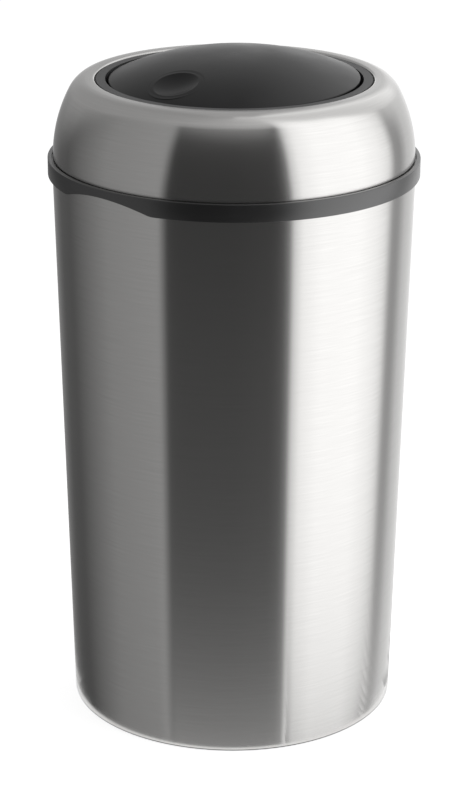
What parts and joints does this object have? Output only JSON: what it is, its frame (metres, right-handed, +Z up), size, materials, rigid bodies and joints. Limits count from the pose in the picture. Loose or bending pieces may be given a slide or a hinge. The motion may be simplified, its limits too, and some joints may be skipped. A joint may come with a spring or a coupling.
{
  "type": "swing-lid trash can",
  "caption": "Round tapered steel bin with a lift-off domed steel head and a black swing flap that tips both ways on pivot pins and swings back by its own weight.",
  "frame": {"origin": "centre of the footprint on the floor", "axes": "+Z up along the bin's axis, -Y to the front, where the flap's finger dimple is, X along the flap's swing axis"},
  "size_m": [0.38, 0.38, 0.6973],
  "materials": {
    "steel": "fine brushing round the bin",
    "pan_steel": "plain galvanised sheet",
    "black_plastic": "satin moulded",
    "flap_plastic": "fine satin moulded",
    "bezel_plastic": "matte moulded",
    "bush_plastic": "natural acetal",
    "pad_rubber": "matte",
    "hardware": "zinc plated",
    "weight_steel": "plain bar"
  },
  "bodies": {
    "bin": {"body_shell": "steel", "base_pan": "pan_steel", "base_ring": "black_plastic", "foot_pads": "pad_rubber"},
    "head": {"joint_band": "black_plastic", "dome_collar": "steel", "bezel": "bezel_plastic", "weld_studs": "hardware", "flange_nuts": "hardware", "stop_buffers": "pad_rubber", "bush_left": "bush_plastic", "bush_right": "bush_plastic"},
    "flap": {"flap_shell": "flap_plastic", "flap_underside": "black_plastic", "cover_screws": "hardware", "counterweight": "weight_steel", "weight_screws": "hardware", "pivot_pin_left": "hardware", "pivot_pin_right": "hardware", "spacer_washers": "bush_plastic"}
  },
  "joints": [
    {"name": "head_lift", "type": "slide", "parent": "bin", "child": "head", "axis": [0, 0, 1], "range_m": [0, 0.06]},
    {"name": "flap_swing", "type": "hinge", "parent": "head", "child": "flap", "pos_m": [0, 0, 0.65896], "axis": [1, 0, 0], "range_deg": [-81.3, 78.7]}
  ]
}
